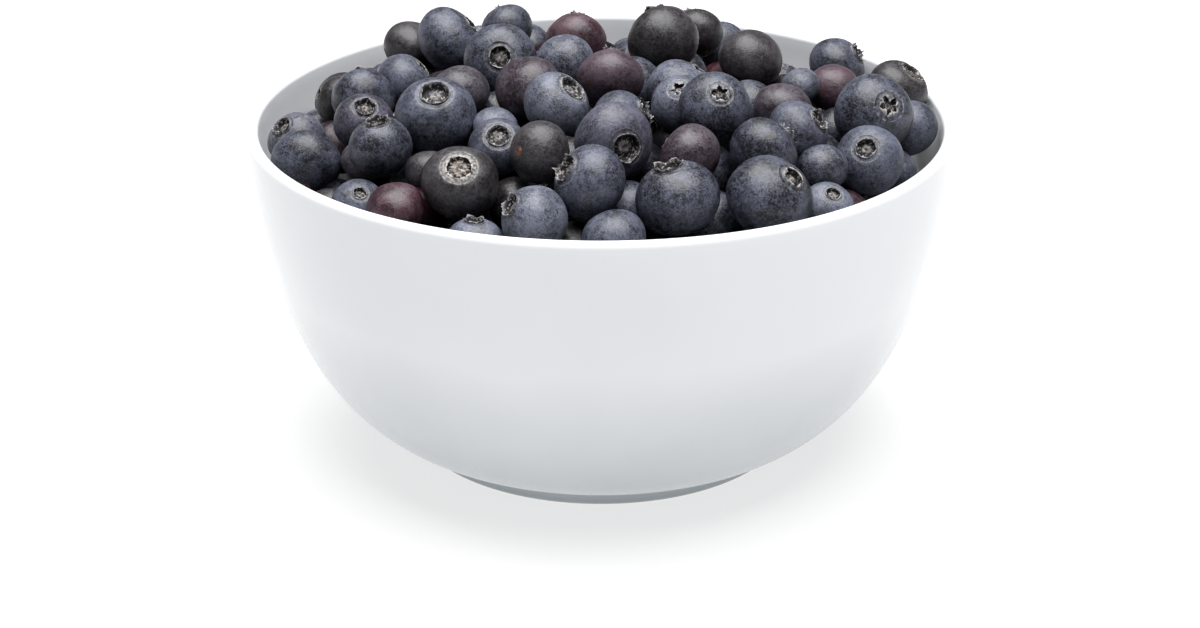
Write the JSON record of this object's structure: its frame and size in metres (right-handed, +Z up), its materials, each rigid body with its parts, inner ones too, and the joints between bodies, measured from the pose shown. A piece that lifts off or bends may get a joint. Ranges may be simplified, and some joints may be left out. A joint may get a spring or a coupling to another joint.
{
  "type": "bowl of blueberries",
  "caption": "Plain round white glazed bowl on a low foot ring, heaped above its rim with loose fresh blueberries.",
  "frame": {"origin": "middle of the foot ring's standing face", "axes": "+Z up along the bowl's axis; -Y towards the side that the picture shows; +X to the right of it"},
  "size_m": [0.15, 0.15, 0.0899],
  "materials": {
    "white_glaze": "smooth clear gloss glaze over white, without decoration",
    "berry_skin": "slate blue to charcoal fruit skin under a pale waxy bloom, rubbed off in patches"
  },
  "bodies": {
    "root": {"bowl": "white_glaze", "berry_heap": "berry_skin"}
  },
  "joints": []
}
